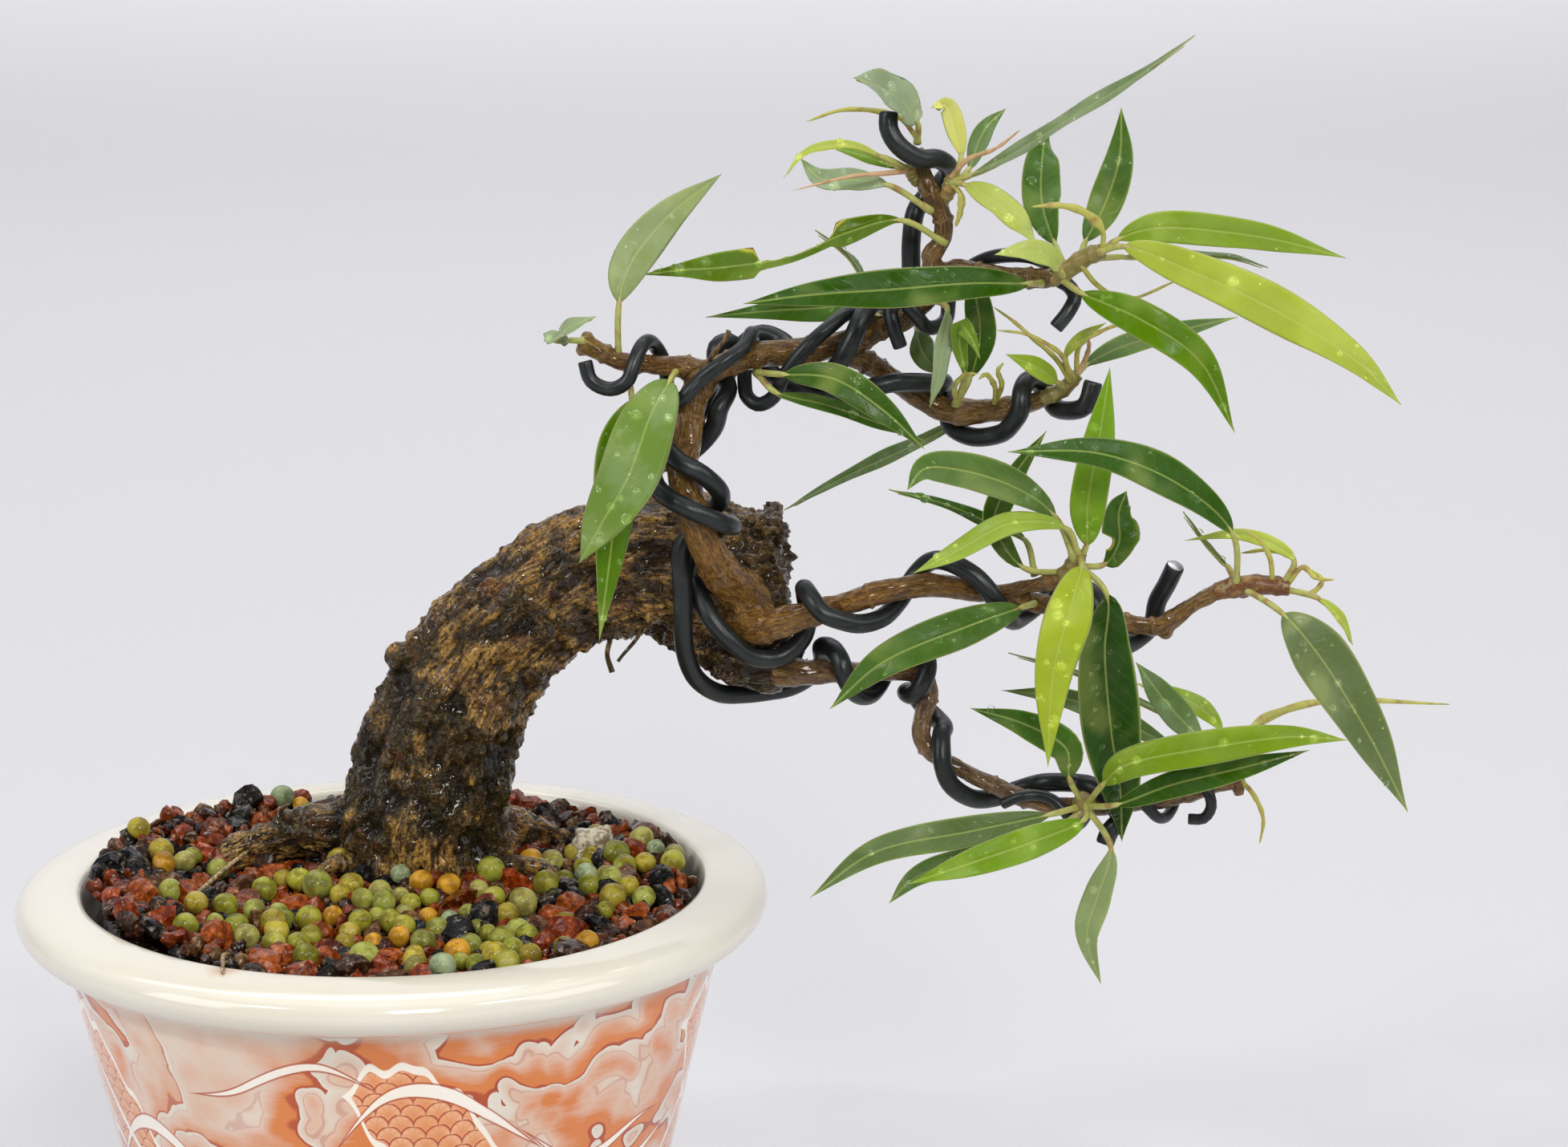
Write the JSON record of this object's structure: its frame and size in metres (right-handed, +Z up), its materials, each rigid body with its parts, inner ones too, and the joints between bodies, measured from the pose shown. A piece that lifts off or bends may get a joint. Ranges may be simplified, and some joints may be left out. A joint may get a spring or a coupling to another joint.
{
  "type": "potted bonsai tree",
  "caption": "Small willow-leaf fig bonsai: a leaning, cut-back trunk with wired branches and slender leaves, standing in grit in a round tapered glazed pot with a rolled lip.",
  "frame": {"origin": "centre of the pot's foot, on the surface that the pot stands on", "axes": "+Z up along the pot's axis, -Y towards the viewer, +X to the side that the tree leans to"},
  "size_m": [0.2315, 0.12, 0.2205],
  "materials": {
    "glaze": "glossy ivory glaze with iron-red painting under it",
    "grit": "matt lava grit with round feed pellets",
    "bark": "rough damp bark",
    "wire": "satin black anodised",
    "leaf_dark": "leathery leaf, dark green, waxy",
    "leaf_grey_green": "leathery leaf, dusty grey-green",
    "leaf_fresh": "leathery leaf, fresh yellow-green",
    "leaf_young": "thin young leaf, pale yellow-green"
  },
  "bodies": {
    "root": {"pot": "glaze", "soil": "grit", "wood": "bark", "long_lower_wire": "wire", "long_middle_wire": "wire", "left_twig_wire": "wire", "right_twig_wire": "wire", "thin_lower_wire": "wire", "apex_tip_leaves": "leaf_grey_green", "apex_side_leaves": "leaf_grey_green", "apex_left_leaves": "leaf_young", "apex_low_leaf": "leaf_grey_green", "bitten_leaf": "leaf_fresh", "thin_back_leaf": "leaf_grey_green", "upper_right_leaves": "leaf_fresh", "crown_front_leaf": "leaf_dark", "crown_back_leaf": "leaf_dark", "crown_inner_leaf": "leaf_grey_green", "crown_twisted_leaf": "leaf_grey_green", "side_stalk_leaves": "leaf_dark", "side_curls": "leaf_young", "crown_left_leaves": "leaf_dark", "side_shoot_leaves": "leaf_young", "long_back_leaf": "leaf_grey_green", "left_front_leaf": "leaf_grey_green", "left_hanging_leaf": "leaf_dark", "left_upright_leaf": "leaf_grey_green", "left_tip_curl": "leaf_grey_green", "middle_shoot_leaves": "leaf_fresh", "middle_back_leaf": "leaf_dark", "middle_leaf": "leaf_dark", "middle_tip_leaves": "leaf_dark", "lower_tip_leaves": "leaf_grey_green", "lower_shoot_leaves": "leaf_fresh"}
  },
  "joints": []
}
